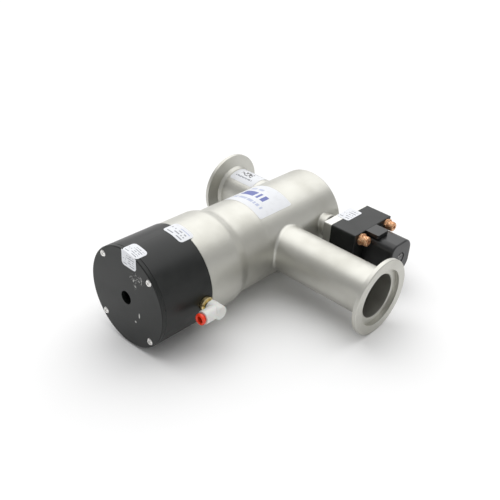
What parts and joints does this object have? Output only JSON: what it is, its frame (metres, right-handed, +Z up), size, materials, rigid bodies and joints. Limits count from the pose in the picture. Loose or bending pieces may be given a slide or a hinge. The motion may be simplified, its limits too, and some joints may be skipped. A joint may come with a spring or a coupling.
{
  "type": "vacuum poppet valve",
  "caption": "Air-operated, bellows-sealed vacuum valve with offset small-flange ports, a round black cylinder, a push-in elbow and a side solenoid vent valve.",
  "frame": {"origin": "centre of the outlet port at its sealing face", "axes": "+X along the body away from the air cylinder, -Y out of the outlet port, +Z up with the vent valve and elbow level"},
  "size_m": [0.1999, 0.1794, 0.0711],
  "materials": {
    "blasted_steel": "bead-blasted stainless steel",
    "weld_steel": "dressed weld",
    "black_anodised": "black anodised, satin",
    "screw_steel": "bright stainless fasteners",
    "machined_steel": "turned",
    "bellows_steel": "formed sheet",
    "spring_steel": "drawn wire",
    "machined_aluminium": "milled",
    "seal_rubber": "moulded",
    "bearing_bronze": "porous bronze",
    "bearing_plastic": "turned",
    "adapter_brass": "turned, bright",
    "white_plastic": "moulded",
    "red_plastic": "moulded",
    "sintered_bronze": "sintered granules",
    "coil_resin": "moulded, slightly grained",
    "black_steel": "blackened",
    "copper_wire": "wound enamelled wire",
    "cap_sticker": "white with plain grey bars",
    "barrel_sticker": "white with plain grey bars and a blue block",
    "body_sticker": "white with plain blue bars",
    "inlet_sticker": "white with plain dark bars",
    "vent_sticker": "white with plain grey bars"
  },
  "bodies": {
    "valve_body": {"barrel_label": "barrel_sticker", "base_o_ring": "seal_rubber", "bellows": "bellows_steel", "bellows_carrier": "machined_steel", "body_end_plate": "blasted_steel", "body_label": "body_sticker", "body_tube": "blasted_steel", "bonnet": "blasted_steel", "bonnet_o_ring": "seal_rubber", "breather_left": "sintered_bronze", "breather_right": "sintered_bronze", "cap_label": "cap_sticker", "coil_housing": "coil_resin", "coil_nut": "screw_steel", "coil_winding": "copper_wire", "coil_yoke": "black_steel", "core_tube": "machined_steel", "cylinder_barrel": "black_anodised", "elbow_adapter": "adapter_brass", "end_cap": "black_anodised", "end_cap_o_ring": "seal_rubber", "fixed_core": "machined_steel", "inlet_flange": "blasted_steel", "inlet_label": "inlet_sticker", "inlet_tube": "blasted_steel", "lead_grommet": "seal_rubber", "outlet_flange": "blasted_steel", "outlet_tube": "blasted_steel", "plunger_spring": "spring_steel", "return_spring": "spring_steel", "rod_seal": "seal_rubber", "seat_plate": "blasted_steel", "stem_bushing": "bearing_bronze", "swivel_o_ring": "seal_rubber", "tie_screws": "screw_steel", "vent_adapter_plate": "machined_aluminium", "vent_boss": "blasted_steel", "vent_gasket": "seal_rubber", "vent_label": "vent_sticker", "vent_plate_o_ring": "seal_rubber", "vent_screws": "screw_steel", "vent_valve_body": "black_anodised", "weld_seam": "weld_steel"},
    "poppet_stem": {"stem": "machined_steel", "piston": "machined_aluminium", "piston_seal": "seal_rubber", "piston_wear_ring": "bearing_plastic", "piston_nut": "screw_steel", "bellows_end_ring": "machined_steel", "poppet": "machined_steel", "poppet_seal": "seal_rubber", "poppet_screw": "screw_steel"},
    "elbow": {"elbow_body": "white_plastic", "grab_ring": "screw_steel", "tube_seal": "seal_rubber"},
    "collet": {"release_collet": "red_plastic"},
    "plunger_set": {"plunger": "machined_steel", "plunger_seal": "seal_rubber"}
  },
  "joints": [
    {"name": "poppet_slide", "type": "slide", "parent": "valve_body", "child": "poppet_stem", "axis": [-1, 0, 0], "range_m": [0, 0.016], "stiffness_N_per_m": 3200, "springref_m": -0.015, "deforming": ["bellows", "return_spring"]},
    {"name": "elbow_swivel", "type": "hinge", "parent": "valve_body", "child": "elbow", "pos_m": [-0.0872, 0.0653, -0.0026], "axis": [0, -1, 0], "continuous": true},
    {"name": "collet_push", "type": "slide", "parent": "elbow", "child": "collet", "axis": [1, 0, 0], "range_m": [0, 0.0012], "stiffness_N_per_m": 600},
    {"name": "plunger_lift", "type": "slide", "parent": "valve_body", "child": "plunger_set", "axis": [0, -1, 0], "range_m": [0, 0.0014], "stiffness_N_per_m": 300, "springref_m": -0.003, "deforming": ["plunger_spring"]}
  ]
}
